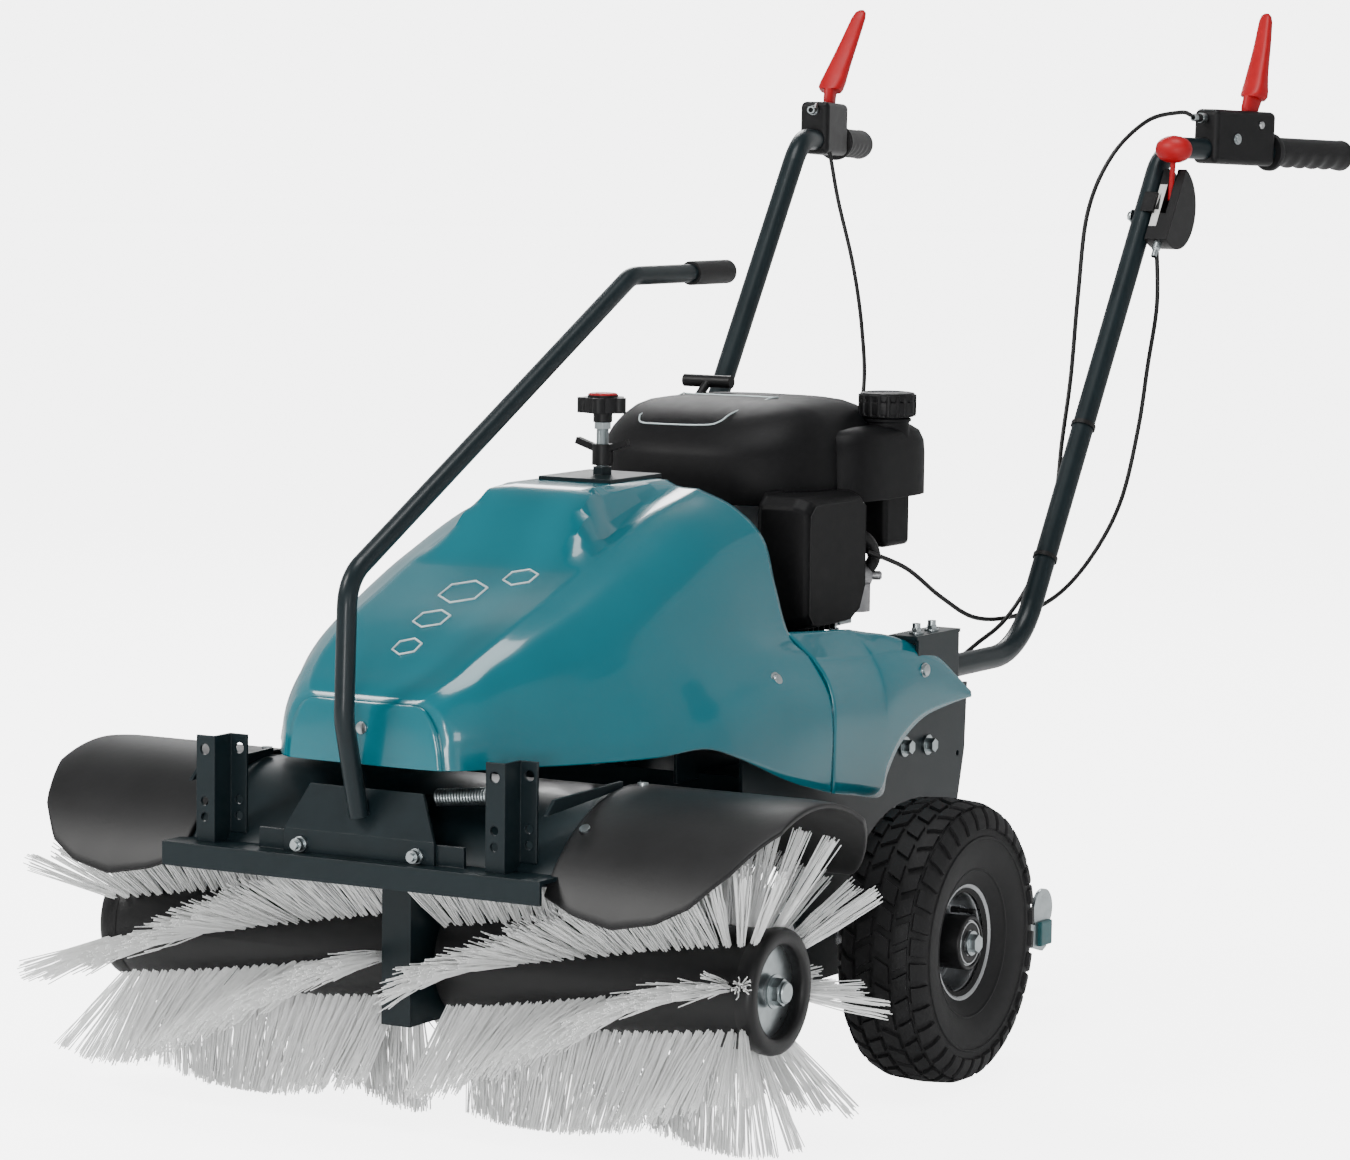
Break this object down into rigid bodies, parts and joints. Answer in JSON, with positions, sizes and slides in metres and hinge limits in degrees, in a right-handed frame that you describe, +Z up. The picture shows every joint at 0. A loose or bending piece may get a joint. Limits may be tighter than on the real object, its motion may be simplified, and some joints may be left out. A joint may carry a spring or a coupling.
{
  "type": "walk behind sweeper",
  "caption": "Walk behind sweeper with a swivelling roller brush under rubber guards, a hood, a petrol engine, air tyres and two handles.",
  "frame": {"origin": "on the ground below the centre of the bounding box", "axes": "+Z up, -Y forward, +X to the machine's left"},
  "size_m": [0.85, 1.6863, 1.1258],
  "materials": {
    "hood_green": "gloss teal enamel",
    "dark_paint": "dark anthracite semi-gloss paint",
    "zinc": "zinc plated",
    "rim_silver": "silver lacquer",
    "steel": "bright steel",
    "black_plastic": "moulded black, fine grain",
    "engine_black": "satin black",
    "red_plastic": "red moulding",
    "rubber": "soft black rubber",
    "tyre": "tyre rubber",
    "bristle": "pale nylon",
    "brush_black": "black brush core",
    "cast_metal": "cast alloy",
    "belt": "belt rubber"
  },
  "bodies": {
    "chassis": {"side_plates": "dark_paint", "deck_frame": "dark_paint", "handle_brackets": "dark_paint", "frame_bolts": "zinc", "axle_bearings": "steel", "transaxle_case": "cast_metal", "engine_block": "cast_metal", "engine_shroud": "engine_black", "fuel_tank": "engine_black", "air_filter_cover": "engine_black", "carburettor": "cast_metal", "muffler": "steel", "drive_belts": "belt", "handle_tubes": "dark_paint", "handle_grips": "rubber", "lever_housings": "black_plastic", "throttle_housing": "black_plastic", "hood": "hood_green", "spindle_tower": "dark_paint", "spindle_plate": "dark_paint"},
    "axle": {"axle_shaft": "steel", "axle_bolts": "zinc"},
    "wheel_left": {"tyre_left": "tyre", "rim_left": "rim_silver", "wheel_bearings_left": "steel"},
    "wheel_right": {"tyre_right": "tyre", "rim_right": "rim_silver", "wheel_bearings_right": "steel"},
    "crank": {"crankshaft": "steel"},
    "gearbox_shaft": {"gearbox_input": "steel"},
    "brush_drive_pulley": {"brush_pulley": "steel"},
    "lift": {"lift_tube": "steel"},
    "adjuster": {"adjusting_rod": "zinc", "star_knob": "black_plastic"},
    "locking_nut": {"wing_nut": "black_plastic"},
    "pivot_drive": {"pivot_shaft": "steel"},
    "brush_head": {"brush_boom": "dark_paint", "gear_case": "dark_paint", "head_cover": "dark_paint", "front_bar": "dark_paint", "uprights": "dark_paint", "steering_lever": "dark_paint", "swivel_grip": "rubber", "rubber_guard_left": "rubber", "rubber_guard_right": "rubber", "guard_brackets": "dark_paint", "head_bolts": "zinc", "return_spring": "zinc"},
    "worm_drive": {"worm_shaft": "steel"},
    "brush": {"brush_shaft": "steel", "worm_wheel": "steel", "brush_cores": "brush_black", "brush_end_discs": "zinc", "bristles": "bristle"},
    "clutch_left": {"clutch_lever_left": "red_plastic"},
    "clutch_right": {"clutch_lever_right": "red_plastic"},
    "throttle": {"throttle_lever": "red_plastic"},
    "tank_cap": {"fuel_cap": "black_plastic"},
    "starter_grip": {"recoil_handle": "black_plastic"},
    "stand": {"rear_stand": "zinc"}
  },
  "joints": [
    {"name": "axle_spin", "type": "hinge", "parent": "chassis", "child": "axle", "pos_m": [0, -0.207, 0.15], "axis": [1, 0, 0], "continuous": true},
    {"name": "wheel_left_spin", "type": "hinge", "parent": "axle", "child": "wheel_left", "pos_m": [0.3325, -0.207, 0.15], "axis": [1, 0, 0], "continuous": true},
    {"name": "wheel_right_spin", "type": "hinge", "parent": "axle", "child": "wheel_right", "pos_m": [-0.3325, -0.207, 0.15], "axis": [1, 0, 0], "continuous": true},
    {"name": "crank_spin", "type": "hinge", "parent": "chassis", "child": "crank", "pos_m": [0, -0.057, 0.38], "axis": [0, 0, 1], "continuous": true},
    {"name": "gearbox_spin", "type": "hinge", "parent": "chassis", "child": "gearbox_shaft", "pos_m": [0, -0.207, 0.3], "axis": [0, 0, 1], "continuous": true},
    {"name": "brush_pulley_spin", "type": "hinge", "parent": "chassis", "child": "brush_drive_pulley", "pos_m": [0, -0.347, 0.369], "axis": [0, 0, 1], "continuous": true},
    {"name": "head_lift", "type": "slide", "parent": "chassis", "child": "lift", "axis": [0, 0, 1], "range_m": [0, 0.01]},
    {"name": "adjuster_turn", "type": "hinge", "parent": "lift", "child": "adjuster", "pos_m": [0, -0.347, 0.6], "axis": [0, 0, 1], "range_deg": [-5, 1205]},
    {"name": "locking_nut_turn", "type": "hinge", "parent": "lift", "child": "locking_nut", "pos_m": [0, -0.347, 0.653], "axis": [0, 0, 1], "continuous": true},
    {"name": "pivot_shaft_spin", "type": "hinge", "parent": "lift", "child": "pivot_drive", "pos_m": [0, -0.347, 0.3], "axis": [0, 0, 1], "continuous": true},
    {"name": "head_swivel", "type": "hinge", "parent": "lift", "child": "brush_head", "pos_m": [0, -0.347, 0.215], "axis": [0, 0, 1], "range_deg": [-15, 15]},
    {"name": "worm_spin", "type": "hinge", "parent": "brush_head", "child": "worm_drive", "pos_m": [0, -0.644, 0.215], "axis": [0, 1, 0], "continuous": true},
    {"name": "brush_spin", "type": "hinge", "parent": "brush_head", "child": "brush", "pos_m": [0, -0.644, 0.168], "axis": [1, 0, 0], "continuous": true},
    {"name": "clutch_left_squeeze", "type": "hinge", "parent": "chassis", "child": "clutch_left", "pos_m": [0.28317, 0.66728, 0.99399], "axis": [-0.9628, 0.2702, 0], "range_deg": [0, 65]},
    {"name": "clutch_right_squeeze", "type": "hinge", "parent": "chassis", "child": "clutch_right", "pos_m": [-0.28317, 0.66728, 0.99399], "axis": [-0.9628, -0.2702, 0], "range_deg": [0, 65]},
    {"name": "throttle_swing", "type": "hinge", "parent": "chassis", "child": "throttle", "pos_m": [0.268, 0.47754, 0.89675], "axis": [1, 0, 0], "range_deg": [0, 70]},
    {"name": "fuel_cap_turn", "type": "hinge", "parent": "chassis", "child": "tank_cap", "pos_m": [0.139, 0.029, 0.69], "axis": [0, 0, 1], "range_deg": [0, 90]},
    {"name": "starter_pull", "type": "slide", "parent": "chassis", "child": "starter_grip", "axis": [0, 0.8, 0.6], "range_m": [0, 0.4]},
    {"name": "stand_fold", "type": "hinge", "parent": "chassis", "child": "stand", "pos_m": [0, -0.007, 0.128], "axis": [-1, 0, 0], "range_deg": [0, 9.5]}
  ],
  "couplings": [
    {"joint": "gearbox_spin", "follows": "axle_spin", "ratio": 20},
    {"joint": "adjuster_turn", "follows": "head_lift", "rad_per_m": 2094.4},
    {"joint": "brush_pulley_spin", "follows": "brush_spin", "ratio": 5},
    {"joint": "pivot_shaft_spin", "follows": "brush_spin", "ratio": 5},
    {"joint": "worm_spin", "follows": "brush_spin", "ratio": 5}
  ]
}
